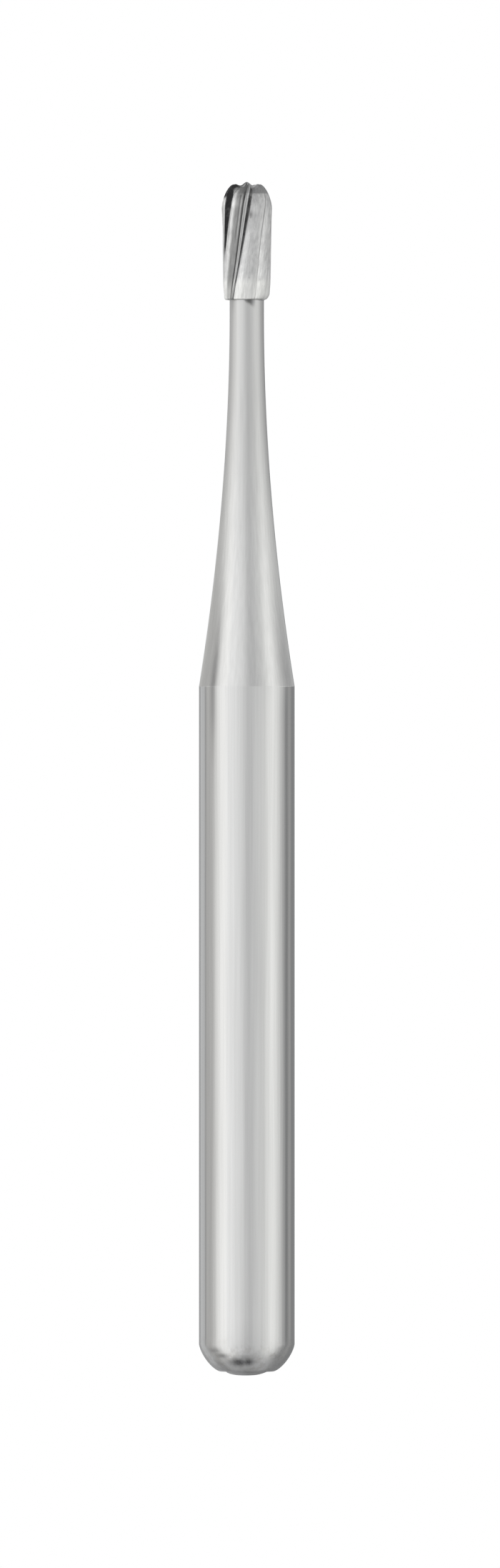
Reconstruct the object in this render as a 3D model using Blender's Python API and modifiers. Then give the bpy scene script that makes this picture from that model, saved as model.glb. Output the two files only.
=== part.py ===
# A friction-grip dental bur: a turned blank whose long pear-shaped head is ground with helical blades

import math

import bpy
import numpy as np

MM = 0.001

# Lengths down the bur, from the tip to the end of the shank
HEAD_LENGTH = 1.97 * MM
NECK_LENGTH = 0.25 * MM
FLARE_LENGTH = 6.21 * MM
SHANK_LENGTH = 10.98 * MM
END_LENGTH = 0.46 * MM
PIP_LENGTH = 0.07 * MM

# Head: its widest place, its long taper and the steeper taper at its back
HEAD_RADIUS = 0.418 * MM
TAPER_RADIUS = 0.393 * MM
BACK_RADIUS = 0.373 * MM
DOME_LENGTH = 0.405 * MM
DOME_FULLNESS = 1.60
BACK_TAPER_LENGTH = 0.27 * MM
BACK_CORNER = 0.045 * MM
BACK_CONE = 0.006 * MM

# Tip: a small point in a shallow ring, inside the crest where the blades turn over
CREST_RADIUS = 0.225 * MM
CREST_DROP = 0.040 * MM
DIP_RADIUS = 0.128 * MM
DIP_DROP = 0.060 * MM
POINT_SHARPNESS = 3.0

# Blades: right-hand helix, cutting clockwise as seen from the shank
BLADES = 8
HELIX_TURN = math.radians(22.0) / MM
BLADE_TURN = math.radians(-5.0)
BLADE_TURN_DROP = 0.54 * MM
FLUTE_DEPTH_FRONT = 0.085 * MM
FLUTE_DEPTH_BACK = 0.022 * MM
FLUTE_FADE = 2.0
FLUTE_START_RADIUS = 0.040 * MM

# Section of one blade: a leaning rake face, a hollow-ground back, a steep relief and a narrow land.
# Widths are shares of the way from one cutting edge to the next, depths are shares of the flute's.
RAKE_SHARE_FRONT = 0.150
RAKE_SHARE_BACK = 0.060
LAND_SHARE_FRONT = 0.110
LAND_SHARE_BACK = 0.075
RELIEF_SHARE = 0.080
RELIEF_DEPTH = 0.34
LAND_DEPTH = 0.04
BACK_HOLLOW = 1.5

# Neck, flare and shank
NECK_RADIUS = 0.287 * MM
NECK_FILLET = 0.006 * MM
SHANK_RADIUS = 0.800 * MM
FLARE_POWER = 1.94
SHOULDER_SOFTNESS = 0.10 * MM

# Shank end: a rounded corner down to a low pip left by parting off
END_RADIUS = 0.450 * MM
END_FULLNESS = 1.45
PIP_RADIUS = 0.360 * MM
PIP_ROUNDNESS = 3.0

# How finely each stretch is divided
BACK_STEPS = 7
COLUMNS = BLADES * (BACK_STEPS + 3)
TIP_STEPS = 4
DOME_STEPS = 12
TAPER_STEPS = 9
CORNER_STEPS = 4
FLARE_STEPS = 15
SHOULDER_STEPS = 4
END_STEPS = 9
PIP_STEPS = 5
MERGE = 0.0001 * MM
SHARP_ANGLE = math.radians(28.0)

# Heights above the end of the shank, where the origin is
END_TOP = PIP_LENGTH + END_LENGTH
SHOULDER_HEIGHT = END_TOP + SHANK_LENGTH
NECK_BOTTOM = SHOULDER_HEIGHT + FLARE_LENGTH
HEAD_BACK = NECK_BOTTOM + NECK_LENGTH
TIP_HEIGHT = HEAD_BACK + HEAD_LENGTH
CREST_HEIGHT = TIP_HEIGHT - CREST_DROP
DIP_HEIGHT = TIP_HEIGHT - DIP_DROP
DOME_BASE = CREST_HEIGHT - DOME_LENGTH
TAPER_END = HEAD_BACK + BACK_TAPER_LENGTH
BLADE_REFERENCE = TIP_HEIGHT - BLADE_TURN_DROP


def clear_scene():
    for item in list(bpy.data.objects):
        bpy.data.objects.remove(item, do_unlink=True)


def make_collection(name):
    group = bpy.data.collections.new(name)
    bpy.context.scene.collection.children.link(group)
    return group


def make_material(name, colour, roughness, metallic):
    material = bpy.data.materials.new(name)
    material.use_nodes = True
    shader = material.node_tree.nodes["Principled BSDF"]
    shader.inputs["Base Color"].default_value = (*colour, 1.0)
    shader.inputs["Roughness"].default_value = roughness
    shader.inputs["Metallic"].default_value = metallic
    return material


def tip_points():
    # The point on the axis, the dip round it and the crest ring, as radius and height
    points = []
    for step in range(TIP_STEPS):
        share = step / TIP_STEPS
        rise = math.cos(0.5 * math.pi * share) ** POINT_SHARPNESS
        points.append((DIP_RADIUS * share, DIP_HEIGHT + (TIP_HEIGHT - DIP_HEIGHT) * rise))
    for step in range(TIP_STEPS):
        share = step / TIP_STEPS
        rise = 0.5 - 0.5 * math.cos(math.pi * share)
        radius = DIP_RADIUS + (CREST_RADIUS - DIP_RADIUS) * share
        points.append((radius, DIP_HEIGHT + (CREST_HEIGHT - DIP_HEIGHT) * rise))
    return points


def oval_quarter(inner, outer, top, bottom, fullness, steps):
    # A quarter of a superellipse, from the inner radius at the top to the outer one at the bottom
    points = []
    for step in range(steps):
        angle = 0.5 * math.pi * step / steps
        across = math.sin(angle) ** (2.0 / fullness)
        up = math.cos(angle) ** (2.0 / fullness)
        points.append((inner + (outer - inner) * across, bottom + (top - bottom) * up))
    return points


def head_points():
    points = tip_points()
    points += oval_quarter(CREST_RADIUS, HEAD_RADIUS, CREST_HEIGHT, DOME_BASE, DOME_FULLNESS, DOME_STEPS)
    for step in range(TAPER_STEPS):
        share = step / TAPER_STEPS
        points.append((HEAD_RADIUS + (TAPER_RADIUS - HEAD_RADIUS) * share,
                       DOME_BASE + (TAPER_END - DOME_BASE) * share))
    points.append((TAPER_RADIUS, TAPER_END))
    for step in range(CORNER_STEPS + 1):
        angle = 0.5 * math.pi * step / CORNER_STEPS
        points.append((BACK_RADIUS - BACK_CORNER * (1.0 - math.cos(angle)),
                       HEAD_BACK + BACK_CORNER * (1.0 - math.sin(angle))))
    return points


def neck_points():
    # The foot of the back face, its small fillet and the neck down to where the flare begins
    root = HEAD_BACK - BACK_CONE
    return [(NECK_RADIUS + NECK_FILLET, root),
            (NECK_RADIUS, root - NECK_FILLET),
            (NECK_RADIUS, NECK_BOTTOM)]


def flare_radius(height):
    share = (NECK_BOTTOM - height) / FLARE_LENGTH
    return NECK_RADIUS + (SHANK_RADIUS - NECK_RADIUS) * share ** FLARE_POWER


def flare_points():
    # The hollow flare, then the soft shoulder where it meets the shank
    points = []
    shoulder_top = SHOULDER_HEIGHT + SHOULDER_SOFTNESS
    for step in range(1, FLARE_STEPS + 1):
        height = NECK_BOTTOM + (shoulder_top - NECK_BOTTOM) * step / FLARE_STEPS
        points.append((flare_radius(height), height))
    start = points[-1]
    for step in range(1, SHOULDER_STEPS + 1):
        share = step / SHOULDER_STEPS
        before = (1.0 - share) ** 2
        middle = 2.0 * share * (1.0 - share)
        after = share ** 2
        points.append((before * start[0] + (middle + after) * SHANK_RADIUS,
                       before * start[1] + middle * SHOULDER_HEIGHT
                       + after * (SHOULDER_HEIGHT - SHOULDER_SOFTNESS)))
    return points


def end_points():
    # The rounded corner of the shank end and the pip, down to the axis
    corner = oval_quarter(END_RADIUS, SHANK_RADIUS, PIP_LENGTH, END_TOP, END_FULLNESS, END_STEPS)
    corner.append((SHANK_RADIUS, END_TOP))
    points = corner[::-1]
    for step in range(PIP_STEPS, -1, -1):
        share = step / PIP_STEPS
        points.append((PIP_RADIUS * share, PIP_LENGTH * share ** PIP_ROUNDNESS))
    return points


def make_blank(group):
    # Turn the whole profile about the axis, as the blank is turned before grinding
    profile = head_points() + neck_points() + flare_points() + end_points()
    mesh = bpy.data.meshes.new("blank_profile")
    corners = [(radius, 0.0, height) for radius, height in profile]
    edges = [(index, index + 1) for index in range(len(corners) - 1)]
    mesh.from_pydata(corners, edges, [])
    blank = bpy.data.objects.new("blank", mesh)
    group.objects.link(blank)
    screw = blank.modifiers.new("Turn", "SCREW")
    screw.axis = "Z"
    screw.steps = COLUMNS
    screw.render_steps = COLUMNS
    screw.use_merge_vertices = True
    screw.merge_threshold = MERGE
    return blank


def smooth_step(value):
    share = np.clip(value, 0.0, 1.0)
    return share * share * (3.0 - 2.0 * share)


def blade_section(back_share):
    # Place and depth of each column of one blade, from its cutting edge to the next one
    rake = RAKE_SHARE_FRONT + (RAKE_SHARE_BACK - RAKE_SHARE_FRONT) * back_share
    land = LAND_SHARE_FRONT + (LAND_SHARE_BACK - LAND_SHARE_FRONT) * back_share
    relief_start = 1.0 - land - RELIEF_SHARE
    places = [np.zeros_like(rake), rake]
    depths = [0.0, 1.0]
    for step in range(1, BACK_STEPS + 1):
        share = step / BACK_STEPS
        places.append(rake + (relief_start - rake) * share)
        depths.append(1.0 + (RELIEF_DEPTH - 1.0) * share ** BACK_HOLLOW)
    places.append(1.0 - land)
    depths.append(LAND_DEPTH)
    return np.stack(places), np.array(depths)


def grind_blades(mesh):
    # Slide each column onto the helix and push the flutes in, towards the middle of the dome
    count = len(mesh.vertices)
    points = np.empty(count * 3, dtype=np.float32)
    mesh.vertices.foreach_get("co", points)
    points = points.reshape(count, 3).astype(float)
    radius = np.hypot(points[:, 0], points[:, 1])
    height = points[:, 2]
    column = np.rint(np.arctan2(points[:, 1], points[:, 0]) / (2.0 * math.pi) * COLUMNS).astype(int)
    column %= COLUMNS
    per_blade = COLUMNS // BLADES
    blade = column // per_blade
    slot = column % per_blade

    # Share of the way down the head, from the dome's base to its back
    back_share = np.clip((DOME_BASE - height) / (DOME_BASE - HEAD_BACK), 0.0, 1.0)
    places, depths = blade_section(back_share)
    ground = places[slot, np.arange(count)]
    spread = smooth_step((radius - FLUTE_START_RADIUS) / (DIP_RADIUS - FLUTE_START_RADIUS))
    spread = np.where(height > HEAD_BACK - BACK_CONE, spread, 0.0)
    place = slot / per_blade * (1.0 - spread) + ground * spread
    turn = BLADE_TURN + HELIX_TURN * (np.maximum(height, HEAD_BACK) - BLADE_REFERENCE)
    angle = (blade + place) * 2.0 * math.pi / BLADES + turn - 0.5 * math.pi

    # Depth falls away towards the back, the axis and the foot of the back face
    depth = FLUTE_DEPTH_BACK + (FLUTE_DEPTH_FRONT - FLUTE_DEPTH_BACK) * (1.0 - back_share) ** FLUTE_FADE
    depth *= smooth_step((radius - FLUTE_START_RADIUS) / (CREST_RADIUS - FLUTE_START_RADIUS))
    foot_share = np.clip((radius - NECK_RADIUS) / (BACK_RADIUS - NECK_RADIUS), 0.0, 1.0)
    depth *= np.where(height < HEAD_BACK + BACK_CORNER, foot_share, 1.0)
    depth *= depths[slot] * (height > HEAD_BACK - BACK_CONE)

    above = np.maximum(height - DOME_BASE, 0.0)
    reach = np.maximum(np.hypot(radius, above), MERGE)
    new_radius = radius * (1.0 - depth / reach)
    new_height = height - above * depth / reach
    points = np.stack([new_radius * np.cos(angle), new_radius * np.sin(angle), new_height], axis=1)
    mesh.vertices.foreach_set("co", points.astype(np.float32).ravel())
    mesh.update()


def make_bur():
    group = make_collection("dental_bur")
    blank = make_blank(group)
    evaluated = blank.evaluated_get(bpy.context.evaluated_depsgraph_get())
    mesh = bpy.data.meshes.new_from_object(evaluated)
    bpy.data.objects.remove(blank, do_unlink=True)
    mesh.name = "bur"
    grind_blades(mesh)
    mesh.shade_smooth()
    mesh.set_sharp_from_angle(angle=SHARP_ANGLE)
    mesh.materials.clear()
    mesh.materials.append(make_material("ground_steel", (0.62, 0.62, 0.61), 0.28, 1.0))
    bur = bpy.data.objects.new("bur", mesh)
    group.objects.link(bur)
    return bur


clear_scene()
make_bur()
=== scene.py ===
import math

import bpy
import numpy as np
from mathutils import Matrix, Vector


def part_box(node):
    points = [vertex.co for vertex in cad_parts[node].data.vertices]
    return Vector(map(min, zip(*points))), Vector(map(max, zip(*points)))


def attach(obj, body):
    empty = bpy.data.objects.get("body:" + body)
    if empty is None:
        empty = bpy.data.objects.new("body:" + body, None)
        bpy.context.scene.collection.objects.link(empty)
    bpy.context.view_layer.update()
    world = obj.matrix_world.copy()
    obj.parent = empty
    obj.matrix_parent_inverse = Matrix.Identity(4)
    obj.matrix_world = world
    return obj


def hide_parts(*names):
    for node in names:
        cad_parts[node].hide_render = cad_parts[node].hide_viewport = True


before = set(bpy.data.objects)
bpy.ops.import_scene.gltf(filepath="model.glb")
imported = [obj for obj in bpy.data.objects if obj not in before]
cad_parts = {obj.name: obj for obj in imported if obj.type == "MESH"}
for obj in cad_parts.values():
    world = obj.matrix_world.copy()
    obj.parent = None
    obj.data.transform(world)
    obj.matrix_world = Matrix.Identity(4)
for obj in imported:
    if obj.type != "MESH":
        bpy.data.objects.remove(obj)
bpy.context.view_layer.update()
mm = 0.001

lowest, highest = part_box("bur")
burLength = (highest.z - lowest.z) / mm
shankRadius = (highest.x - lowest.x) / 2 / mm
print("frame loaded: bur", round(burLength, 3), "mm long, shank", round(2 * shankRadius, 3), "mm across")


def linearColour(hexText):
    # sRGB hex to linear: the low part is a straight line, the rest a power of 2.4
    channels = [int(hexText[i:i + 2], 16) / 255 for i in (0, 2, 4)]
    return [c / 12.92 if c <= 0.04045 else ((c + 0.055) / 1.055) ** 2.4 for c in channels] + [1.0]


def addNode(tree, kind, settings=None, inputs=None):
    # A node with its settings; each input takes a value, or a link where it is given a socket
    made = tree.nodes.new(kind)
    for name, value in (settings or {}).items():
        setattr(made, name, value)
    for name, value in (inputs or {}).items():
        if isinstance(value, bpy.types.NodeSocket):
            tree.links.new(value, made.inputs[name])
        else:
            made.inputs[name].default_value = value
    return made


def smoothStep(value):
    # 3 t squared less 2 t cubed, with t held between 0 and 1
    t = np.clip(value, 0.0, 1.0)
    return t * t * (3.0 - 2.0 * t)


def stepBetween(value, none, full):
    # The smooth step of how far the value has come from none, where it is 0, to full, where it is 1
    return smoothStep((value - none) / (full - none))


def stepAround(value, middle, width):
    # The smooth step that is half way at the middle and takes the width; a negative width makes it fall
    return smoothStep((value - middle) / width + 0.5)


def bell(off, width):
    # e to the minus square of distance over width
    return np.exp(-(off / width) ** 2)


# The turned profile, in millimetres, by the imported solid's driving sizes. The head is a hair larger than the
# solid's, with a tighter back corner, and the shoulder is crisp, so that it mirrors no bright ring.
profileSizes = {
    "headLength": 1.97, "neckLength": 0.25, "flareLength": 6.21,
    "headRadius": 0.423, "taperRadius": 0.396, "backRadius": 0.376,
    "domeLength": 0.405, "domeFullness": 1.60, "backTaperLength": 0.27,
    "backCorner": 0.028, "backCone": 0.006,
    "cornerWear": 0.052, "cornerWearHeight": 0.110, "wearMargin": 0.010,
    "crestRadius": 0.225, "crestDrop": 0.040, "dipRadius": 0.128, "dipDrop": 0.060,
    "pointSharpness": 3.0,
    "neckRadius": 0.287, "neckFillet": 0.006, "flarePower": 1.94, "shoulderSoftness": 0.003,
    "endLength": 0.46, "endRadius": 0.450, "endFullness": 1.45,
    "pipRadius": 0.360, "pipLength": 0.07, "pipRoundness": 3.0, "pipShift": -0.018,
    "tipSteps": 12, "crestSteps": 14, "domeSteps": 52, "taperSteps": 66, "backTaperSteps": 18,
    "cornerSteps": 8, "filletSteps": 4, "neckSteps": 20, "flareSteps": 36, "shoulderSteps": 6,
    "shankSteps": 24, "endSteps": 26, "pipSteps": 8,
}

# The blades. Widths are shares of the way from one cutting edge to the next. The depths at front and back are
# in millimetres, and the relief's and the land's are shares of them. The helix turns by degrees a millimetre,
# and bladeTurn is the first blade's place in degrees at bladeTurnDrop under the tip.
bladeSizes = {
    "blades": 8, "helixTurn": 22.0, "bladeTurn": -5.0, "bladeTurnDrop": 0.54,
    "depthFront": 0.085, "depthBack": 0.022, "depthFade": 2.0, "startRadius": 0.040,
    "rakeFront": 0.150, "rakeBack": 0.055, "rakeFade": 3.0, "landFront": 0.100, "landBack": 0.070,
    "relief": 0.085, "landDepth": 0.04, "backHollow": 1.5,
    "domeEase": 0.26,  # share of the dome's stray that goes evenly with the height, the rest as its square
    # how deep each flute is, as a share of the full depth
    "depthShare": [1.0, 0.12, 0.08, 0.85, 0.60, 0.90, 0.30, 1.0],
    # degrees that each blade strays from its even place, at the tip, at the widest place and on to the back
    "strayPlaces": [-1.0, 0.0, 0.20, 0.35, 0.65, 0.88, 1.0],
    "stray": [[9.0, 2.6, 2.4, 3.0, 1.5, -2.0, -5.5], [6.0, 2.8, 2.2, 3.0, 6.5, 10.0, 12.0],
              [-6.0, -2.0, -2.0, -1.0, -1.0, 0.0, 0.0], [6.0, 3.0, 2.0, 2.0, 0.0, -2.0, -3.0],
              [-2.0, -2.0, -1.0, 0.0, 0.0, 1.0, 2.0], [7.0, 2.0, 2.0, 1.0, 0.0, -1.0, -2.0],
              [-10.0, -5.0, -4.0, -4.0, -2.0, 0.0, 0.0], [-18.0, -14.5, -11.0, -7.5, -4.5, -1.0, 0.0]],
    # height of each blade's relief, as a share of its flute
    "reliefDepth": [0.10, 0.10, 0.20, 0.22, 0.30, 0.26, 0.10, 0.24],
    "rakeSteps": 9, "backSteps": 20, "reliefSteps": 6, "landSteps": 6,
    "sharpAngle": 38,  # degrees from which an edge is shown sharp
}

# Painted light and shade on each blade, from the one that faces the camera and on to the right. The first six
# say how dark the painted shade in its flute is. Most of the rest lift or lower the metal's own tone by that
# share, as painted light and shade.
bladePaintedShade = {
    "darkEnd": [1.6, 1.50, 0.8, 1.0, 0.5, 1.2, -1.0, 0.66],  # share of the way down the head where it stops
    "darkAtTip": [0.85, 0.0, 0.5, 0.2, 1.0, 0.0, 0.0, 1.0],  # how much of it is left on the tip
    "darkLevel": [0.94, 0.66, 0.4, 0.9, 0.8, 0.9, 0.0, 1.0],
    "darkWidth": [1.22, 0.35, 0.4, 1.0, 0.9, 1.0, 1.0, 1.1],  # share of the rake that it covers
    "darkTaper": [0.30, -1.4, 0.2, 0.3, 0.4, 0.3, 0.0, 1.25],  # share of this width lost on the way down
    "darkPoint": [0.0, 0.0, 0.0, 0.0, 0.2, 0.0, 0.0, 0.58],  # and near the point
    "footLightFront": [0.05, 0.16, 0.10, 0.10, 0.30, 0.20, 0.30, 0.50],  # painted light on the foot of its back, near the tip
    "footLightBack": [0.20, 0.18, 0.10, 0.15, 0.30, 0.20, 0.30, 0.43],  # and further down
    "footWidth": [0.26, 0.22, 0.16, 0.20, 0.16, 0.20, 0.60, 0.22],  # as a share of the back
    "hollowShade": [0.02, -0.10, 0.0, 0.15, 0.30, 0.20, 0.0, 0.50],  # painted shade on the rest of its back
    "creaseShade": [0.04, 0.06, 0.10, 0.25, 0.40, 0.30, 0.0, 0.38],  # painted shade in the crease where the back meets the relief
    # painted light on its land; a negative share paints shade
    "land": [0.0, 0.04, 0.0, 0.05, 0.12, 0.10, 0.15, -0.54],
    "edge": [0.0, 0.0, 0.0, 0.0, 0.0, 0.0, 0.0, 0.36],  # painted highlight on the last half of its land, next to the cutting edge
    "ridgeHighlight": [0.0, 0.0, 0.0, 0.0, 0.12, 0.0, 0.0, 0.24],  # a painted highlight: a bright line along its back
    "domeShade": [0.0, 0.0, 0.0, 0.0, 0.0, 0.0, 0.15, 0.42],  # painted shade: what it loses on the dome
    # painted light over the whole blade
    "whole": [0.03, 0.10, 0.28, 0.10, 0.0, 0.05, 0.05, 0.0],
    "capShare": [1.0, 1.0, 0.9, 0.7, 1.0, 0.8, 1.0, 0.60],  # how much of the tip's painted grey shade it shows
    "tipShadow": [0.0, 0.0, 0.0, 0.0, 0.4, 0.0, 1.0, 0.0],  # how dark its land and back are on the dome
}

# Where these start and end. A pair says where a smooth step is nothing and where it is full: in columns
# across the flute, or in shares of the back, the relief, the land, or the way down the head or up the dome.
toneSteps = {
    "fluteIn": (-0.45, 1.05), "fluteOut": (2.1, -0.9), "fluteEnd": (0.0, -0.25), "pointNarrow": (0.64, 0.92),
    "fluteLow": (0.60, 0.90), "fluteLowLoss": 0.15,
    "further": (0.12, 0.34), "last": (0.78, 0.92),
    "footIn": (-0.12, -0.02), "footOut": (0.30, 0.0), "footLastLoss": 0.5,
    "hollowIn": (0.05, 0.40), "hollowOut": (0.0, -0.30), "hollowLastLoss": 0.6,
    "creaseIn": (-0.25, 0.10), "creaseOut": (1.10, 0.60), "creaseLastGain": 0.6,
    "creaseDome": (0.50, 0.85), "creaseDomeLoss": 0.6,
    "landIn": (0.0, 0.30), "edgeIn": (0.25, 0.65),
    # the ridge's painted highlight is a bright line with a grey one before it: place and half width of each
    "brightLine": (0.92, 0.04), "greyLine": (0.80, 0.06), "greyShare": 0.9, "ridgeEnd": (0.40, 0.25),
    "domeIn": (0.15, 0.65), "domeLandGain": 2.0,
}

# Marks on the bur: real ones, and painted shade. Lengths are in millimetres, and a pair says where a smooth
# step is nothing and where it is full.
markSizes = {
    # painted grey cap and painted shadow, by drop from the tip, and the light band, by height over the
    # head's back
    "capDrop": 0.200, "capEdge": 0.022, "shadowDrop": 0.280, "shadowEdge": 0.110, "shadowColumns": 2,
    "bandHeight": 0.330, "bandEdge": 0.150,
    # radii between which the painted cap grows, what it keeps on the point, and radii between which the
    # flutes' painted shade grows
    "capRadii": (0.09, 0.18), "capOnPoint": 0.40, "fluteRadii": (0.04, 0.24),
    # dimple at the root of the head, with painted shade in it: degrees round, its size, and how soft its
    # edges are
    "nickAngle": 15.5, "nickWidth": 0.140, "nickHeight": 0.160, "nickDepth": 0.018,
    "nickLeftSoft": 0.090, "nickRight": (0.088, -0.022), "nickTopSoft": 0.004, "nickFade": 0.150,
    # smudges on the head: degrees round, height, half widths in degrees and millimetres, strength
    "smudges": {
        "besideFlute": (10.8, 19.385, 4.2, 0.060, 0.50),
        "lowOne": (6.0, 18.330, 3.0, 0.018, 0.22),
        "rightOne": (33.0, 18.300, 3.0, 0.020, 0.20),
        "farOne": (150.0, 19.100, 9.0, 0.050, 0.30),
    },
    # stains on the end, and painted shade at the shoulder and under the head: degrees round, height, half
    # widths in degrees and millimetres, strength
    "stainsAndShades": {
        "core": (-11.0, 0.240, 14.0, 0.072, 0.92),
        "coreRight": (2.0, 0.244, 9.0, 0.072, 0.90),
        "coreTop": (-1.0, 0.325, 13.0, 0.060, 0.40),
        "coreUnder": (-2.0, 0.110, 26.0, 0.070, 0.26),
        "halo": (0.0, 0.430, 20.0, 0.160, 0.16),
        "smudgeLeft": (-44.0, 0.430, 9.0, 0.040, 0.40),
        "smudgeInner": (-33.0, 0.345, 10.0, 0.042, 0.58),
        "farSide": (160.0, 0.300, 26.0, 0.080, 0.60),
        "farSmudge": (95.0, 0.400, 16.0, 0.050, 0.40),
        # painted shade where the shoulder would mirror a bright ring
        "shoulderShade": (-45.0, 11.540, 5.0, 0.900, 0.48),
        # painted shade on the neck, under the head
        "underHeadShade": (-56.0, 17.930, 11.0, 0.160, 0.20),
    },
}


def profilePoints(s, length, shank):
    # Radius and height of every ring from the tip to the end, stretch after stretch, without the axis points
    headBack = length - s["headLength"]
    neckBottom = headBack - s["neckLength"]
    shoulder = neckBottom - s["flareLength"]
    endTop = s["endLength"] + s["pipLength"]
    crestHeight = length - s["crestDrop"]
    domeBase = crestHeight - s["domeLength"]
    taperEnd = headBack + s["backTaperLength"]
    stretches = []

    def addStretch(radius, height):
        stretches.append(np.stack([radius, height], axis=1))

    # Point: height falls as a quarter cosine to a power, then a half cosine lifts it to the crest
    t = np.arange(1, s["tipSteps"]) / s["tipSteps"]
    dip = length - s["dipDrop"]
    addStretch(s["dipRadius"] * t, dip + s["dipDrop"] * np.cos(0.5 * math.pi * t) ** s["pointSharpness"])
    t = np.arange(s["crestSteps"]) / s["crestSteps"]
    addStretch(s["dipRadius"] + (s["crestRadius"] - s["dipRadius"]) * t,
               dip + (crestHeight - dip) * (0.5 - 0.5 * np.cos(math.pi * t)))

    # Dome: a quarter of a superellipse
    a = 0.5 * math.pi * np.arange(s["domeSteps"]) / s["domeSteps"]
    power = 2.0 / s["domeFullness"]
    addStretch(s["crestRadius"] + (s["headRadius"] - s["crestRadius"]) * np.sin(a) ** power,
               domeBase + s["domeLength"] * np.cos(a) ** power)

    # Long taper, the steeper taper behind it, and the round corner of the back face
    t = np.arange(s["taperSteps"]) / s["taperSteps"]
    addStretch(s["headRadius"] + (s["taperRadius"] - s["headRadius"]) * t,
               domeBase + (taperEnd - domeBase) * t)
    t = np.arange(s["backTaperSteps"]) / s["backTaperSteps"]
    cornerTop = headBack + s["backCorner"]
    addStretch(s["taperRadius"] + (s["backRadius"] - s["taperRadius"]) * t,
               taperEnd + (cornerTop - taperEnd) * t)
    a = 0.5 * math.pi * np.arange(s["cornerSteps"] + 1) / s["cornerSteps"]
    addStretch(s["backRadius"] - s["backCorner"] * (1 - np.cos(a)),
               headBack + s["backCorner"] * (1 - np.sin(a)))

    # Foot of the back face, its small fillet and the neck
    root = headBack - s["backCone"]
    a = 0.5 * math.pi * np.arange(s["filletSteps"] + 1) / s["filletSteps"]
    addStretch(s["neckRadius"] + s["neckFillet"] * (1 - np.sin(a)), root - s["neckFillet"] * (1 - np.cos(a)))
    t = np.arange(1, s["neckSteps"] + 1) / s["neckSteps"]
    neckTop = root - s["neckFillet"]
    addStretch(np.full(t.shape, s["neckRadius"]), neckTop - (neckTop - neckBottom) * t)

    # Flare: the share of the way down to a power; the shoulder is a quadratic curve into the shank
    top = shoulder + s["shoulderSoftness"]
    height = neckBottom + (top - neckBottom) * np.arange(1, s["flareSteps"] + 1) / s["flareSteps"]
    rise = ((neckBottom - height) / s["flareLength"]) ** s["flarePower"]
    addStretch(s["neckRadius"] + (shank - s["neckRadius"]) * rise, height)
    start = stretches[-1][-1]
    t = np.arange(1, s["shoulderSteps"] + 1) / s["shoulderSteps"]
    before, middle, after = (1 - t) ** 2, 2 * t * (1 - t), t ** 2
    addStretch(before * start[0] + (middle + after) * shank,
               before * start[1] + middle * shoulder + after * (shoulder - s["shoulderSoftness"]))

    # Shank, the rounded corner of its end, and the low pip left by parting off
    t = np.arange(1, s["shankSteps"] + 1) / s["shankSteps"]
    shankTop = shoulder - s["shoulderSoftness"]
    addStretch(np.full(t.shape, shank), shankTop + (endTop - shankTop) * t)
    a = 0.5 * math.pi * np.arange(1, s["endSteps"]) / s["endSteps"]
    power = 2.0 / s["endFullness"]
    addStretch(s["endRadius"] + (shank - s["endRadius"]) * np.cos(a) ** power,
               s["pipLength"] + s["endLength"] * (1 - np.sin(a) ** power))
    addStretch(np.array([s["endRadius"]]), np.array([s["pipLength"]]))
    t = np.arange(s["pipSteps"], 0, -1) / s["pipSteps"]
    addStretch(s["pipRadius"] * t, s["pipLength"] * t ** s["pipRoundness"])
    return np.concatenate(stretches)


def bladeSection(b, backShare):
    # One blade from its cutting edge to the next: the rake dips as a sine, the hollow back rises as a power,
    # then a straight relief and a straight land. Places go by ring and column, depths by blade and column.
    rake = (b["rakeBack"] + (b["rakeFront"] - b["rakeBack"]) * (1 - backShare) ** b["rakeFade"])[:, None]
    land = (b["landFront"] + (b["landBack"] - b["landFront"]) * backShare)[:, None]
    reliefStart = 1.0 - land - b["relief"]
    rakeT = (np.arange(b["rakeSteps"]) / b["rakeSteps"])[None, :]
    backT = (np.arange(b["backSteps"]) / b["backSteps"])[None, :]
    reliefT = (np.arange(b["reliefSteps"]) / b["reliefSteps"])[None, :]
    landT = (np.arange(b["landSteps"]) / b["landSteps"])[None, :]
    places = np.concatenate([rake * rakeT, rake + (reliefStart - rake) * backT,
                             reliefStart + b["relief"] * reliefT, 1.0 - land + land * landT], axis=1)
    relief = np.array(b["reliefDepth"])[:, None]
    whole = np.ones((b["blades"], 1))
    depths = np.concatenate([whole * np.sin(0.5 * math.pi * rakeT),
                             1.0 + (relief - 1.0) * backT ** b["backHollow"],
                             relief + (b["landDepth"] - relief) * reliefT,
                             whole * b["landDepth"] * (1.0 - landT)], axis=1)
    return places, depths


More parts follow.
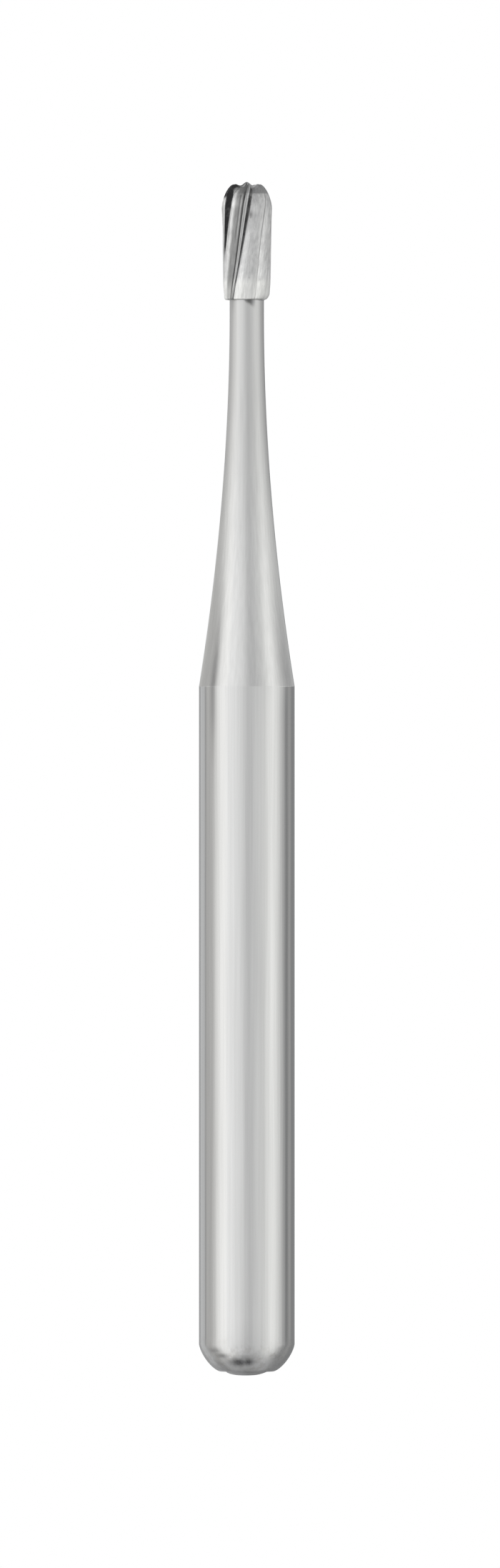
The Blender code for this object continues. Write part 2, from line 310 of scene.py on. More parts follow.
def bladeShades(b, f, t, backShare, domeShare, tipShare, onHead):
    # The painted shade of the flute: a pair of smooth steps across it, times one down the head. The painted
    # light and shade of all the rest: 1, plus the foot's painted light, less the painted shade of its hollow
    # and its crease, plus the land, its edge and the ridge's painted highlight, times what the dome's painted
    # shade leaves. Each part is a pair of smooth steps across the blade.
    perBlade = b["rakeSteps"] + b["backSteps"] + b["reliefSteps"] + b["landSteps"]
    column = np.arange(perBlade)[None, None, :]
    down = backShare[:, None, None]
    up = domeShare[:, None, None]
    tip = tipShare[:, None, None]

    def own(name):
        # a list by blade, ready to multiply with rings and columns
        return np.array(f[name])[None, :, None]

    backT = (column - b["rakeSteps"]) / b["backSteps"]
    reliefT = (column - b["rakeSteps"] - b["backSteps"]) / b["reliefSteps"]
    landT = (column - perBlade + b["landSteps"]) / b["landSteps"]

    kept = 1 - own("darkTaper") * down - own("darkPoint") * stepBetween(up, *t["pointNarrow"])
    width = own("darkWidth") * b["rakeSteps"] * kept
    # painted shade in the flute, where its deep groove holds shade
    flute = own("darkLevel") * stepBetween(column, *t["fluteIn"])
    flute = flute * stepBetween(column - width, *t["fluteOut"])
    flute = flute * stepBetween(down - own("darkEnd"), *t["fluteEnd"]) * (1 - tip + tip * own("darkAtTip"))
    flute = flute * (1 - t["fluteLowLoss"] * stepBetween(down, *t["fluteLow"]))

    further = stepBetween(down, *t["further"])
    last = stepBetween(down, *t["last"])
    pastFoot = backT - own("footWidth")
    foot = (own("footLightFront") * (1 - further) + own("footLightBack") * further) * (1 - t["footLastLoss"] * last)
    foot = foot * stepBetween(backT, *t["footIn"]) * stepBetween(pastFoot, *t["footOut"])
    hollowShade = own("hollowShade") * stepBetween(pastFoot, *t["hollowIn"]) * stepBetween(landT, *t["hollowOut"])
    hollowShade = hollowShade * (1 - t["hollowLastLoss"] * last)
    creaseShade = own("creaseShade") * stepBetween(reliefT, *t["creaseIn"]) * stepBetween(reliefT, *t["creaseOut"])
    creaseShade = creaseShade * (1 + t["creaseLastGain"] * last)
    creaseShade = creaseShade * (1 - t["creaseDomeLoss"] * stepBetween(up, *t["creaseDome"]))
    onLand = stepBetween(landT, *t["landIn"])
    land = own("land") * onLand + own("edge") * stepBetween(landT, *t["edgeIn"]) * (1 - last)
    (bright, brightWidth), (grey, greyWidth) = t["brightLine"], t["greyLine"]
    line = bell(backT - bright, brightWidth) - t["greyShare"] * bell(backT - grey, greyWidth)
    ridgeHighlight = own("ridgeHighlight") * line * stepBetween(down, *t["ridgeEnd"]) * (1 - tip)
    paintedShading = 1 + own("whole") + foot - hollowShade - creaseShade + land + ridgeHighlight
    onDome = stepBetween(up, *t["domeIn"]) * (1 - t["domeLandGain"] * onLand)
    paintedShading = paintedShading * (1 - own("domeShade") * onDome)

    shape = (len(backShare), b["blades"] * perBlade)
    flute = (flute * onHead[:, None, None]).reshape(shape)
    paintedShading = np.broadcast_to(paintedShading, (len(backShare), b["blades"], perBlade)).reshape(shape)
    return {"flute": flute, "paintedShading": paintedShading * onHead[:, None]}


def bellShade(bells, angle, height):
    # Each mark is a bell round the bur times a bell up it, and the strongest one counts
    shade = np.zeros(angle.shape)
    for around, up, wide, tall, strength in bells.values():
        off = (angle - around + 180.0) % 360.0 - 180.0
        shade = np.maximum(shade, strength * bell(off, wide) * bell(height[:, None] - up, tall))
    return shade


def burSurface(s, b, paintedShade, steps, marks, length, shank):
    # Grid of rings by columns. Angle: the blade's place plus the helix plus its stray. Radius and height: the
    # profile's, drawn towards the middle of the dome by the flute's depth.
    rings = profilePoints(s, length, shank)
    radius, height = rings[:, 0], rings[:, 1]
    headBack = length - s["headLength"]
    domeBase = length - s["crestDrop"] - s["domeLength"]
    backShare = np.clip((domeBase - height) / (domeBase - headBack), 0.0, 1.0)
    onHead = height > headBack - s["backCone"]

    places, depths = bladeSection(b, backShare)
    perBlade = places.shape[1]
    columns = b["blades"] * perBlade
    pitch = 360.0 / b["blades"]

    # Cutting edge of each blade in degrees from the side that faces the camera: helix plus stray
    turn = b["bladeTurn"] + b["helixTurn"] * (np.maximum(height, headBack) - length + b["bladeTurnDrop"])
    domeShare = np.clip((height - domeBase) / s["domeLength"], 0.0, 1.0)
    # the square lets the edges cross the widest place without a kink
    place = backShare - b["domeEase"] * domeShare - (1 - b["domeEase"]) * domeShare ** 2
    # a quartic runs as near as it can to the blade's own places
    stray = np.stack([np.polyval(np.polyfit(b["strayPlaces"], own, 4), place) for own in b["stray"]], axis=1)
    edges = np.arange(b["blades"])[None, :] * pitch + stray
    nextEdges = np.concatenate([edges[:, 1:], edges[:, :1] + 360.0], axis=1)

    bladeAngle = edges[:, :, None] + (nextEdges - edges)[:, :, None] * places[:, None, :]
    evenAngle = (np.arange(columns) / columns * 360.0).reshape(1, b["blades"], perBlade)
    spread = stepBetween(radius, b["startRadius"], s["dipRadius"]) * onHead
    angle = evenAngle * (1 - spread[:, None, None]) + bladeAngle * spread[:, None, None]
    angle = (angle + turn[:, None, None]).reshape(len(radius), columns)

    # Depth falls away to the back, to the axis and to the foot of the back face
    depth = b["depthBack"] + (b["depthFront"] - b["depthBack"]) * (1 - backShare) ** b["depthFade"]
    depth *= stepBetween(radius, b["startRadius"], s["crestRadius"]) * onHead
    foot = np.clip((radius - s["neckRadius"]) / (s["backRadius"] - s["neckRadius"]), 0.0, 1.0)
    depth *= np.where(height < headBack + s["backCorner"], foot, 1.0)
    depth = depth[:, None] * (depths * np.array(b["depthShare"])[:, None]).reshape(1, columns)

    # Push towards the middle of the dome
    above = np.maximum(height - domeBase, 0.0)[:, None]
    reach = np.maximum(np.hypot(radius[:, None], above), 1e-6)
    newRadius = radius[:, None] * (1 - depth / reach)
    newHeight = height[:, None] - above * depth / reach

    # The back corner is worn rounder on the right: the wear grows as a square down to the back face
    wear = np.clip((headBack + s["cornerWearHeight"] - height) / s["cornerWearHeight"], 0.0, 1.0) ** 2
    wear = wear * (radius > s["neckRadius"] + s["wearMargin"]) * onHead * s["cornerWear"]
    newRadius = newRadius - wear[:, None] * np.clip(np.sin(np.radians(angle)), 0.0, 1.0)
    newRadius = np.where(wear[:, None] > 0, np.maximum(newRadius, s["neckRadius"]), newRadius)

    # A dimple at the root of the head: a right triangle, upright on its right side, with soft edges
    across = (angle - marks["nickAngle"]) / 180.0 * math.pi * s["neckRadius"]
    down = (headBack - s["backCone"] - height)[:, None]
    leftEdge = -marks["nickWidth"] * np.clip(1 - down / marks["nickHeight"], 0.0, 1.0)
    nickAndShade = smoothStep((across - leftEdge) / marks["nickLeftSoft"]) * stepBetween(across, *marks["nickRight"])
    nickAndShade = nickAndShade * smoothStep(down / marks["nickTopSoft"])
    nickAndShade = nickAndShade * smoothStep((marks["nickHeight"] - down) / marks["nickFade"])
    newRadius = newRadius - marks["nickDepth"] * nickAndShade

    # The pip stands a hair off the middle: it moves aside over the upper half of its height
    a = np.radians(angle)
    aside = s["pipShift"] * smoothStep((s["pipLength"] - height) / (0.5 * s["pipLength"]))[:, None]
    points = np.stack([newRadius * np.sin(a) + aside, -newRadius * np.cos(a), newHeight], axis=2)

    capLine = length - marks["capDrop"]
    tipShare = stepAround(height, capLine, marks["capEdge"])
    shades = bladeShades(b, paintedShade, steps, backShare, domeShare, tipShare, onHead)
    shades["flute"] = shades["flute"] * stepBetween(radius, *marks["fluteRadii"])[:, None]
    # the dimple's mask also paints shade on the neck there
    shades["nickAndShade"] = nickAndShade
    # painted grey shade on the tip, by blade
    ownShare = np.repeat(np.array(paintedShade["capShare"]), perBlade)[None, :]
    offPoint = marks["capOnPoint"] + (1 - marks["capOnPoint"]) * stepBetween(radius, *marks["capRadii"])
    shades["capShade"] = ownShare * offPoint[:, None] * stepAround(newHeight, capLine, marks["capEdge"])
    # the shadow runs on a few columns past its blade's cutting edge
    ownShadow = np.repeat(np.array(paintedShade["tipShadow"]), perBlade)
    ownShadow = np.maximum(ownShadow, np.roll(ownShadow, marks["shadowColumns"]))[None, :]
    shades["shadow"] = ownShadow * stepAround(newHeight, length - marks["shadowDrop"], marks["shadowEdge"])
    band = stepAround(height, headBack + marks["bandHeight"], -marks["bandEdge"]) * onHead
    shades["band"] = np.repeat(band[:, None], columns, axis=1)
    shades["stainAndShade"] = bellShade(marks["stainsAndShades"], angle, height)
    shades["smudge"] = bellShade(marks["smudges"], angle, height)

    # Where the wheel lines run: the surface with the helix turned back
    straight = np.radians(angle - turn[:, None])
    ground = np.stack([radius[:, None] * np.sin(straight), -radius[:, None] * np.cos(straight),
                       np.repeat(height[:, None], columns, axis=1)], axis=2)
    headRings = int(onHead.sum())
    return points, shades, ground, headRings


def gridMesh(name, points, tip, end):
    # Rings of columns closed round, a fan at each pole, faces outwards
    rings, columns = points.shape[:2]
    corner = np.arange(rings * columns).reshape(rings, columns)
    right = np.roll(corner, -1, axis=1)
    quads = np.stack([corner[:-1], corner[1:], right[1:], right[:-1]], axis=2).reshape(-1, 4)
    top, bottom = rings * columns, rings * columns + 1
    topFan = np.stack([np.full(columns, top), corner[0], right[0]], axis=1)
    bottomFan = np.stack([np.full(columns, bottom), right[-1], corner[-1]], axis=1)
    vertices = np.concatenate([points.reshape(-1, 3), [tip], [end]]) * mm
    mesh = bpy.data.meshes.new(name)
    mesh.from_pydata(vertices.tolist(), [], quads.tolist() + topFan.tolist() + bottomFan.tolist())
    return mesh


def storeShade(mesh, name, values, kind="FLOAT"):
    # One number, or one vector, a point; the poles take the mean of their own ring
    flat = values.reshape(-1, values.shape[2]) if kind == "FLOAT_VECTOR" else values.reshape(-1)
    flat = np.concatenate([flat, values[:1].mean(axis=1), values[-1:].mean(axis=1)])
    attribute = mesh.attributes.new(name, kind, "POINT")
    field = "vector" if kind == "FLOAT_VECTOR" else "value"
    attribute.data.foreach_set(field, flat.astype(np.float32).ravel())


# Hard metal of the head: sRGB colours, patterns in cells a millimetre, tones and roughnesses as low and high
hardMetal = {
    # the cap colour is painted grey shade on the tip, the flute colour painted shade in the grooves
    "dull": "b6b6b6", "bright": "d4d4d3", "band": "d6d6d4", "capShade": "a2a2a2",
    "flute": "2b2b2c", "fluteLines": "444445", "brightest": "f7f7f6",
    "lines": 42.0, "lineStretch": 0.10, "lineEdges": (0.25, 0.75), "lineTone": (0.84, 1.16),
    "lineHeight": 0.0016, "lineBump": 0.6,
    "blotches": 12.0, "blotchStretch": 0.5, "blotchEdges": (0.30, 0.70), "brokenEdge": 0.9,
    "pits": 38.0, "pitEdges": (0.70, 0.80), "pitTone": 0.22,
    "rough": (0.50, 0.62), "fluteRough": 0.65,
}


def groundHardMetal(s):
    # Tungsten carbide, ground with a diamond wheel: a grey, satin metal with fine lines along the blades,
    # faint blotches, tiny pits, a light band at the back, painted light and shade on each blade, a painted
    # grey shade on the tip, and flutes that are painted dark with shade and made rough
    material = bpy.data.materials.new("groundHardMetal")
    material.use_nodes = True
    tree = material.node_tree
    shader = tree.nodes["Principled BSDF"]
    place = addNode(tree, "ShaderNodeAttribute", {"attribute_name": "grindPlace"}).outputs["Vector"]
    shade = {name: addNode(tree, "ShaderNodeAttribute", {"attribute_name": name}).outputs["Fac"]
             for name in ("flute", "paintedShading", "capShade", "shadow", "band", "smudge")}

    # Wheel lines run along the blade, 0.02 mm apart: coarser than the real ones, so that they show
    lines = addNode(tree, "ShaderNodeMapping", None, {"Vector": place, "Scale": (1.0, 1.0, s["lineStretch"])})
    lineNoise = addNode(tree, "ShaderNodeTexNoise", None,
                        {"Vector": lines.outputs["Vector"], "Scale": s["lines"] / mm,
                         "Detail": 3.0, "Roughness": 0.6})
    # Blotches of 0.1 mm, where the wheel polished more
    blotch = addNode(tree, "ShaderNodeMapping", None,
                     {"Vector": place, "Scale": (1.0, 1.0, s["blotchStretch"])})
    blotchNoise = addNode(tree, "ShaderNodeTexNoise", None,
                          {"Vector": blotch.outputs["Vector"], "Scale": s["blotches"] / mm,
                           "Detail": 4.0, "Roughness": 0.62})
    # Pits of 0.02 mm, a few to a blade
    pitNoise = addNode(tree, "ShaderNodeTexNoise", None,
                       {"Vector": place, "Scale": s["pits"] / mm, "Detail": 1.0})
    pits = addNode(tree, "ShaderNodeMapRange", {"interpolation_type": "SMOOTHSTEP"},
                   {"Value": pitNoise.outputs["Fac"], "From Min": s["pitEdges"][0],
                    "From Max": s["pitEdges"][1], "To Max": s["pitTone"]})

    body = addNode(tree, "ShaderNodeValToRGB", None, {"Fac": blotchNoise.outputs["Fac"]})
    for stop, edge, colour in zip(body.color_ramp.elements, s["blotchEdges"], (s["dull"], s["bright"])):
        stop.position = edge
        stop.color = linearColour(colour)
    banded = addNode(tree, "ShaderNodeMix", {"data_type": "RGBA"},
                     {"Factor": shade["band"], 6: body.outputs["Color"], 7: linearColour(s["band"])})
    capped = addNode(tree, "ShaderNodeMix", {"data_type": "RGBA"},
                     {"Factor": shade["capShade"], 6: banded.outputs[2], 7: linearColour(s["capShade"])})

    # Its tone: the lines, times the blade's painted light and shade, times what the pits and smudges leave
    streak = addNode(tree, "ShaderNodeMapRange", None,
                     {"Value": lineNoise.outputs["Fac"], "From Min": s["lineEdges"][0],
                      "From Max": s["lineEdges"][1], "To Min": s["lineTone"][0],
                      "To Max": s["lineTone"][1]})
    marked = addNode(tree, "ShaderNodeMath", {"operation": "ADD"},
                     {0: pits.outputs["Result"], 1: shade["smudge"]})
    clean = addNode(tree, "ShaderNodeMath", {"operation": "MULTIPLY_ADD", "use_clamp": True},
                    {0: marked.outputs[0], 1: -1.0, 2: 1.0})
    toned = addNode(tree, "ShaderNodeMath", {"operation": "MULTIPLY"},
                    {0: streak.outputs["Result"], 1: shade["paintedShading"]})
    toned = addNode(tree, "ShaderNodeMath", {"operation": "MULTIPLY"},
                    {0: toned.outputs[0], 1: clean.outputs[0]})
    streaked = addNode(tree, "ShaderNodeVectorMath", {"operation": "SCALE"},
                       {0: capped.outputs[2], "Scale": toned.outputs[0]})

    # The flute's painted shade has its edge broken up by the blotches, and the painted shadow on the dome
    # joins it
    broken = addNode(tree, "ShaderNodeMath", {"operation": "MULTIPLY_ADD"},
                     {0: blotchNoise.outputs["Fac"], 1: s["brokenEdge"], 2: -0.5 * s["brokenEdge"]})
    dark = addNode(tree, "ShaderNodeMath", {"operation": "MAXIMUM"}, {0: shade["flute"], 1: shade["shadow"]})
    uneven = addNode(tree, "ShaderNodeMath", {"operation": "ADD", "use_clamp": True},
                     {0: dark.outputs[0], 1: broken.outputs[0]})
    fluted = addNode(tree, "ShaderNodeMath", {"operation": "MULTIPLY", "use_clamp": True},
                     {0: uneven.outputs[0], 1: dark.outputs[0]})
    darkLines = addNode(tree, "ShaderNodeMix", {"data_type": "RGBA"},
                        {"Factor": lineNoise.outputs["Fac"], 6: linearColour(s["flute"]),
                         7: linearColour(s["fluteLines"])})
    colour = addNode(tree, "ShaderNodeMix", {"data_type": "RGBA"},
                     {"Factor": fluted.outputs[0], 6: streaked.outputs["Vector"], 7: darkLines.outputs[2]})
    # Even the brightest metal gives back less light than it gets
    real = addNode(tree, "ShaderNodeVectorMath", {"operation": "MINIMUM"},
                   {0: colour.outputs[2], 1: linearColour(s["brightest"])[:3]})
    tree.links.new(real.outputs["Vector"], shader.inputs["Base Color"])

    satin = addNode(tree, "ShaderNodeMapRange", None,
                    {"Value": blotchNoise.outputs["Fac"], "From Min": s["blotchEdges"][0],
                     "From Max": s["blotchEdges"][1], "To Min": s["rough"][0], "To Max": s["rough"][1]})
    rough = addNode(tree, "ShaderNodeMix", {"data_type": "FLOAT"},
                    {"Factor": fluted.outputs[0], "A": satin.outputs["Result"], "B": s["fluteRough"]})
    tree.links.new(rough.outputs[0], shader.inputs["Roughness"])
    shader.inputs["Metallic"].default_value = 1.0
    bump = addNode(tree, "ShaderNodeBump", None,
                   {"Height": lineNoise.outputs["Fac"], "Strength": s["lineBump"],
                    "Distance": s["lineHeight"] * mm})
    tree.links.new(bump.outputs["Normal"], shader.inputs["Normal"])
    return material


# Steel of the rest: as above, and heights in millimetres from where a change is nothing to where it is full
shankSteel = {
    # the stain and nick colours also paint shade: at the shoulder, under the head and in the dimple
    "dull": "bfbfbe", "bright": "d0d0cf", "end": "a3a19d", "stainAndShade": "4c4c4e", "nickAndShade": "6c6c6c",
    "lines": 24.0, "lineStretch": 0.015, "lineHeight": 0.0012, "lineBump": 0.5,
    "rough": 0.12, "neckHeights": (12.5, 16.5), "neckRough": 0.22, "neckTone": -0.09,
    "endHeights": (0.75, 0.30), "endRough": 0.14,
    "mottles": 7.0, "mottleEdges": (0.40, 0.72), "mottleTone": 0.5,
    "grains": 40.0, "grainEdges": (0.30, 0.70), "grainTone": (0.85, 1.10),
}


def polishedSteel(s):
    # Stainless steel, centreless ground and then polished: a bright, nearly clear mirror, with faint lines
    # along it, a duller neck, a mottled end where it was parted off, stains, and painted shade at the
    # shoulder, under the head and in the dimple
    material = bpy.data.materials.new("polishedSteel")
    material.use_nodes = True
    tree = material.node_tree
    shader = tree.nodes["Principled BSDF"]
    place = addNode(tree, "ShaderNodeTexCoord").outputs["Object"]
    height = addNode(tree, "ShaderNodeSeparateXYZ", None, {"Vector": place}).outputs["Z"]
    nickAndShade = addNode(tree, "ShaderNodeAttribute", {"attribute_name": "nickAndShade"}).outputs["Fac"]
    stainAndShade = addNode(tree, "ShaderNodeAttribute", {"attribute_name": "stainAndShade"}).outputs["Fac"]

    # Polishing lines along the shank, 0.04 mm apart: coarser than the real ones, so that they show
    lines = addNode(tree, "ShaderNodeMapping", None, {"Vector": place, "Scale": (1.0, 1.0, s["lineStretch"])})
    lineNoise = addNode(tree, "ShaderNodeTexNoise", None,
                        {"Vector": lines.outputs["Vector"], "Scale": s["lines"] / mm, "Detail": 2.0})
    streaked = addNode(tree, "ShaderNodeMix", {"data_type": "RGBA"},
                       {"Factor": lineNoise.outputs["Fac"], 6: linearColour(s["dull"]),
                        7: linearColour(s["bright"])})
    neckShare = addNode(tree, "ShaderNodeMapRange", {"interpolation_type": "SMOOTHSTEP"},
                        {"Value": height, "From Min": s["neckHeights"][0] * mm,
                         "From Max": s["neckHeights"][1] * mm})
    neckTone = addNode(tree, "ShaderNodeMath", {"operation": "MULTIPLY_ADD"},
                       {0: neckShare.outputs["Result"], 1: s["neckTone"], 2: 1.0})
    duller = addNode(tree, "ShaderNodeVectorMath", {"operation": "SCALE"},
                     {0: streaked.outputs[2], "Scale": neckTone.outputs[0]})

    # The end: blotches of 0.15 mm, stronger towards the pip
    endShare = addNode(tree, "ShaderNodeMapRange", {"interpolation_type": "SMOOTHSTEP"},
                       {"Value": height, "From Min": s["endHeights"][0] * mm,
                        "From Max": s["endHeights"][1] * mm})
    mottleNoise = addNode(tree, "ShaderNodeTexNoise", None,
                          {"Vector": place, "Scale": s["mottles"] / mm, "Detail": 5.0, "Roughness": 0.6})
    mottle = addNode(tree, "ShaderNodeMapRange", {"interpolation_type": "SMOOTHSTEP"},
                     {"Value": mottleNoise.outputs["Fac"], "From Min": s["mottleEdges"][0],
                      "From Max": s["mottleEdges"][1], "To Max": s["mottleTone"]})
    mottled = addNode(tree, "ShaderNodeMath", {"operation": "MULTIPLY"},
                      {0: mottle.outputs["Result"], 1: endShare.outputs["Result"]})
    withEnd = addNode(tree, "ShaderNodeMix", {"data_type": "RGBA"},
                      {"Factor": mottled.outputs[0], 6: duller.outputs["Vector"], 7: linearColour(s["end"])})

    # The stains and painted shade, grainy, and the painted shade in the dimple
    grain = addNode(tree, "ShaderNodeTexNoise", None,
                    {"Vector": lines.outputs["Vector"], "Scale": s["grains"] / mm, "Detail": 3.0})
    patchy = addNode(tree, "ShaderNodeMapRange", None,
                     {"Value": grain.outputs["Fac"], "From Min": s["grainEdges"][0],
                      "From Max": s["grainEdges"][1], "To Min": s["grainTone"][0],
                      "To Max": s["grainTone"][1]})
    stained = addNode(tree, "ShaderNodeMath", {"operation": "MULTIPLY", "use_clamp": True},
                      {0: stainAndShade, 1: patchy.outputs["Result"]})
    withStain = addNode(tree, "ShaderNodeMix", {"data_type": "RGBA"},
                        {"Factor": stained.outputs[0], 6: withEnd.outputs[2], 7: linearColour(s["stainAndShade"])})
    colour = addNode(tree, "ShaderNodeMix", {"data_type": "RGBA"},
                     {"Factor": nickAndShade, 6: withStain.outputs[2], 7: linearColour(s["nickAndShade"])})
    tree.links.new(colour.outputs[2], shader.inputs["Base Color"])

    # Rougher towards the neck, and again at the end
    rough = addNode(tree, "ShaderNodeMath", {"operation": "MULTIPLY_ADD"},
                    {0: neckShare.outputs["Result"], 1: s["neckRough"], 2: s["rough"]})
    rough = addNode(tree, "ShaderNodeMath", {"operation": "MULTIPLY_ADD"},
                    {0: endShare.outputs["Result"], 1: s["endRough"], 2: rough.outputs[0]})
    tree.links.new(rough.outputs[0], shader.inputs["Roughness"])
    shader.inputs["Metallic"].default_value = 1.0
    bump = addNode(tree, "ShaderNodeBump", None,
                   {"Height": lineNoise.outputs["Fac"], "Strength": s["lineBump"],
                    "Distance": s["lineHeight"] * mm})
    tree.links.new(bump.outputs["Normal"], shader.inputs["Normal"])
    return material


def makeBur():
    # One closed surface: the head's faces take the first material and all the rest the second
    points, shades, ground, headRings = burSurface(profileSizes, bladeSizes, bladePaintedShade, toneSteps,
                                                   markSizes, burLength, shankRadius)
    mesh = gridMesh("burSurface", points, (0, 0, burLength), (profileSizes["pipShift"], 0, 0))
    for name, values in shades.items():
        storeShade(mesh, name, values)
    storeShade(mesh, "grindPlace", ground * mm, "FLOAT_VECTOR")
    mesh.materials.append(groundHardMetal(hardMetal))
    mesh.materials.append(polishedSteel(shankSteel))
    # Quads come ring by ring, then the tip's fan and the end's
    columns = points.shape[1]
    slots = np.ones(len(mesh.polygons), dtype=np.int32)
    slots[:(headRings - 1) * columns] = 0
    slots[(len(points) - 1) * columns:len(points) * columns] = 0
    mesh.polygons.foreach_set("material_index", slots)
    mesh.shade_smooth()
    mesh.set_sharp_from_angle(angle=math.radians(bladeSizes["sharpAngle"]))
    mesh.update()
    made = bpy.data.objects.new("burBody", mesh)
    bpy.context.scene.collection.objects.link(made)
    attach(made, "root")
    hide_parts("bur")
    print("bur made:", len(mesh.polygons), "faces")


# Floor: pale, below the picture's lower edge, fading out before its rim
floorSizes = {
    "height": -6.0, "radius": 60.0, "fadeStart": 26.0, "fadeEnd": 56.0, "sides": 96,
    "colour": "f2f2f0", "fibres": 5.0, "rough": 0.9, "glow": 0.33,
}


def paleFloor(s):
    # Matt white card on a light table: fibres of 0.2 mm change its tone by a hair, a soft glow from below
    # keeps it pale, and it fades away with the radius
    material = bpy.data.materials.new("backlitCard")
    material.use_nodes = True
    tree = material.node_tree
    shader = tree.nodes["Principled BSDF"]
    place = addNode(tree, "ShaderNodeTexCoord").outputs["Object"]
    fibres = addNode(tree, "ShaderNodeTexNoise", None,
                     {"Vector": place, "Scale": s["fibres"] / mm, "Detail": 3.0})
    colour = addNode(tree, "ShaderNodeMix", {"data_type": "RGBA"},
                     {"Factor": fibres.outputs["Fac"], 6: linearColour(s["colour"]),
                      7: linearColour("ffffff")})
    tree.links.new(colour.outputs[2], shader.inputs["Base Color"])
    shader.inputs["Roughness"].default_value = s["rough"]
    shader.inputs["Emission Color"].default_value = linearColour("ffffff")
    shader.inputs["Emission Strength"].default_value = s["glow"]
    flat = addNode(tree, "ShaderNodeVectorMath", {"operation": "MULTIPLY"}, {0: place, 1: (1.0, 1.0, 0.0)})
    radius = addNode(tree, "ShaderNodeVectorMath", {"operation": "LENGTH"}, {0: flat.outputs["Vector"]})
    fade = addNode(tree, "ShaderNodeMapRange", {"interpolation_type": "SMOOTHSTEP"},
                   {"Value": radius.outputs["Value"], "From Min": s["fadeStart"] * mm,
                    "From Max": s["fadeEnd"] * mm, "To Min": 1.0, "To Max": 0.0})
    tree.links.new(fade.outputs["Result"], shader.inputs["Alpha"])
    return material


def makeFloor(s):
    # A flat disc: cosine and sine of even angles, times its radius
    a = np.arange(s["sides"]) / s["sides"] * 2 * math.pi
    rim = np.stack([np.cos(a) * s["radius"], np.sin(a) * s["radius"], np.full(a.shape, s["height"])], axis=1)
    rim = rim * mm
    mesh = bpy.data.meshes.new("floor")
    mesh.from_pydata(rim.tolist(), [], [list(range(s["sides"]))])
    mesh.materials.append(paleFloor(s))
    floor = bpy.data.objects.new("floor", mesh)
    bpy.context.scene.collection.objects.link(floor)
    floor.visible_glossy = False
    print("floor made")


# Light tent: soft boxes round the bur by azimuth from the camera, in degrees, left negative. Each one stands
# between its low and its high edge, pairs of elevations from none to full. A black card takes light away.
studioLight = {
    "base": 0.325, "baseColour": "fcfdff",
    # azimuths are drawn in by this share between these elevations, and shifted by these degrees at the top
    "drawIn": 0.38, "drawInRise": (0.8, 3.2), "drawInFall": (2.5, 14.5), "shift": 6.0,
    "boxes": {
        "farLeft": {"centre": -166, "reach": 16, "soft": 7, "strength": 0.15,
                    "low": (-50, -30), "high": (56, 42), "colour": "fdfeff"},
        "backLeft": {"centre": -136, "reach": 18, "soft": 7, "strength": 0.42,
                     "low": (-50, -30), "high": (56, 42), "colour": "fdfeff"},
        "sideLeft": {"centre": -84, "reach": 39.5, "soft": 12, "strength": 0.34,
                     "low": (-66, -46), "high": (56, 42), "colour": "fffdf8"},
        "keyLeft": {"centre": -57, "reach": 40, "soft": 34, "strength": 0.72,
                    "low": (-67, -52), "high": (60, 45), "colour": "ffffff"},
        "frontLeft": {"centre": -19, "reach": 47, "soft": 49, "strength": 0.82,
                      "low": (-76, -42), "high": (56, 42), "colour": "ffffff"},
        "frontRight": {"centre": 21, "reach": 25, "soft": 24, "strength": 0.42,
                       "low": (-76, -40), "high": (34, 8), "colour": "ffffff"},
        "keyRight": {"centre": 63, "reach": 55, "soft": 56, "strength": 0.99,
                     "low": (-78, -36), "high": (56, 42), "colour": "fffffd"},
        "highLeft": {"centre": -112, "reach": 52, "soft": 30, "strength": 2.3,
                     "low": (15, 24), "high": (54, 38), "colour": "ffffff"},
        "blackCard": {"centre": 112, "reach": 11, "soft": 9, "strength": -0.06,
                      "low": (-50, -30), "high": (56, 42), "colour": "ffffff"},
        "rimRight": {"centre": 125, "reach": 16, "soft": 15, "strength": 0.16,
                     "low": (-50, -30), "high": (56, 42), "colour": "fffdf8"},
    },
    # a glow from under the tent and from over it, by elevation from none to full
    "under": (-40, -68), "underGlow": 0.30, "over": (42, 56), "overGlow": 0.08,
}


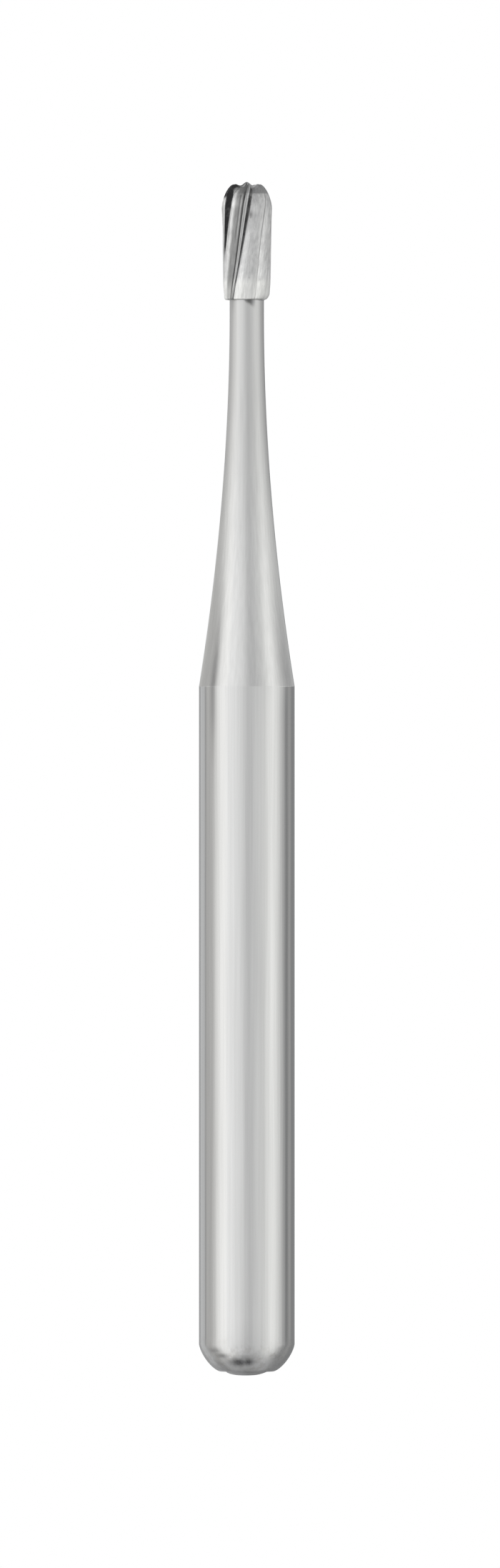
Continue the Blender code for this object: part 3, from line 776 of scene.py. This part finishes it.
def makeWorld(s):
    # Every box is a smooth step down from its centre in azimuth, times one at its low edge and one at its
    # high edge. Azimuths are drawn in a little above the horizon, so the boxes bulge out there, and shifted
    # by the height. The camera sees plain white in place of the tent.
    world = bpy.data.worlds.new("lightTent")
    bpy.context.scene.world = world
    world.use_nodes = True
    tree = world.node_tree
    tree.nodes.clear()
    way = addNode(tree, "ShaderNodeTexCoord").outputs["Generated"]
    axes = addNode(tree, "ShaderNodeSeparateXYZ", None, {"Vector": way})
    up = axes.outputs["Z"]

    def edge(none, full, lowest=0.0, highest=1.0):
        return addNode(tree, "ShaderNodeMapRange", {"interpolation_type": "SMOOTHSTEP"},
                       {"Value": up, "From Min": math.sin(math.radians(none)),
                        "From Max": math.sin(math.radians(full)), "To Min": lowest, "To Max": highest})

    towards = addNode(tree, "ShaderNodeMath", {"operation": "MULTIPLY"}, {0: axes.outputs["Y"], 1: -1.0})
    plain = addNode(tree, "ShaderNodeMath", {"operation": "ARCTAN2"},
                    {0: axes.outputs["X"], 1: towards.outputs[0]})
    above = addNode(tree, "ShaderNodeMath", {"operation": "MAXIMUM"}, {0: up, 1: 0.0})
    rise, fall = edge(*s["drawInRise"]), edge(*s["drawInFall"], 1.0, 0.0)
    bulge = addNode(tree, "ShaderNodeMath", {"operation": "MULTIPLY"},
                    {0: rise.outputs["Result"], 1: fall.outputs["Result"]})
    drawnIn = addNode(tree, "ShaderNodeMath", {"operation": "MULTIPLY_ADD"},
                      {0: bulge.outputs[0], 1: -s["drawIn"], 2: 1.0})
    moved = addNode(tree, "ShaderNodeMath", {"operation": "MULTIPLY"},
                    {0: above.outputs[0], 1: -math.radians(s["shift"])})
    azimuth = addNode(tree, "ShaderNodeMath", {"operation": "MULTIPLY_ADD"},
                      {0: plain.outputs[0], 1: drawnIn.outputs[0], 2: moved.outputs[0]})
    total = None
    for box in s["boxes"].values():
        off = addNode(tree, "ShaderNodeMath", {"operation": "SUBTRACT"},
                      {0: azimuth.outputs[0], 1: math.radians(box["centre"])})
        off = addNode(tree, "ShaderNodeMath", {"operation": "ABSOLUTE"}, {0: off.outputs[0]})
        share = addNode(tree, "ShaderNodeMapRange", {"interpolation_type": "SMOOTHSTEP"},
                        {"Value": off.outputs[0], "From Min": math.radians(box["reach"]),
                         "From Max": math.radians(box["reach"] - box["soft"]),
                         "To Min": 0.0, "To Max": box["strength"]})
        low, high = edge(*box["low"]), edge(*box["high"])
        upright = addNode(tree, "ShaderNodeMath", {"operation": "MULTIPLY"},
                          {0: low.outputs["Result"], 1: high.outputs["Result"]})
        share = addNode(tree, "ShaderNodeMath", {"operation": "MULTIPLY"},
                        {0: share.outputs["Result"], 1: upright.outputs[0]})
        glow = addNode(tree, "ShaderNodeVectorMath", {"operation": "SCALE"},
                       {0: linearColour(box["colour"])[:3], "Scale": share.outputs[0]})
        if total is not None:
            glow = addNode(tree, "ShaderNodeVectorMath", {"operation": "ADD"},
                           {0: total.outputs["Vector"], 1: glow.outputs["Vector"]})
        total = glow
    under = edge(*s["under"], 0.0, s["underGlow"])
    over = edge(*s["over"], 0.0, s["overGlow"])
    base = [c * s["base"] for c in linearColour(s["baseColour"])[:3]]
    light = addNode(tree, "ShaderNodeVectorMath", {"operation": "ADD"}, {0: total.outputs["Vector"], 1: base})
    for extra in (under, over):
        light = addNode(tree, "ShaderNodeVectorMath", {"operation": "ADD"},
                        {0: light.outputs["Vector"], 1: extra.outputs["Result"]})
    lit = addNode(tree, "ShaderNodeBackground", None, {"Color": light.outputs["Vector"]})
    white = addNode(tree, "ShaderNodeBackground", None, {"Color": linearColour("ffffff")})
    seen = addNode(tree, "ShaderNodeLightPath").outputs["Is Camera Ray"]
    both = addNode(tree, "ShaderNodeMixShader", None, {0: seen, 1: lit.outputs[0], 2: white.outputs[0]})
    addNode(tree, "ShaderNodeOutputWorld", None, {"Surface": both.outputs[0]})
    print("light tent made:", len(s["boxes"]), "soft boxes")


# Camera: level, square on to the bur, where the picture is 700 by 2194 and 83.75 pixels make a millimetre
cameraSizes = {"pictureHeight": 2194, "pixelsPerMm": 83.75, "middleX": 350.0, "axisX": 345.5,
               "middleY": 1097.0, "tipY": 254.6, "distance": 300.0, "sensor": 36.0}


def makeCamera(s):
    # Lens: distance times sensor over the height of the frame. It looks level, with the bur's axis at axisX
    # and its tip at tipY in the picture.
    frameHeight = s["pictureHeight"] / s["pixelsPerMm"]
    lens = bpy.data.cameras.new("camera")
    lens.sensor_width = s["sensor"]
    lens.lens = s["distance"] * s["sensor"] / frameHeight
    lens.clip_start = 10 * mm
    lens.clip_end = 10.0
    camera = bpy.data.objects.new("camera", lens)
    bpy.context.scene.collection.objects.link(camera)
    middle = burLength - (s["middleY"] - s["tipY"]) / s["pixelsPerMm"]
    camera.location = ((s["middleX"] - s["axisX"]) / s["pixelsPerMm"] * mm, -s["distance"] * mm, middle * mm)
    camera.rotation_euler = (math.radians(90), 0, 0)
    bpy.context.scene.camera = camera
    bpy.context.scene.view_settings.view_transform = "Standard"
    print("camera made")


makeBur()
makeFloor(floorSizes)
makeWorld(studioLight)
makeCamera(cameraSizes)
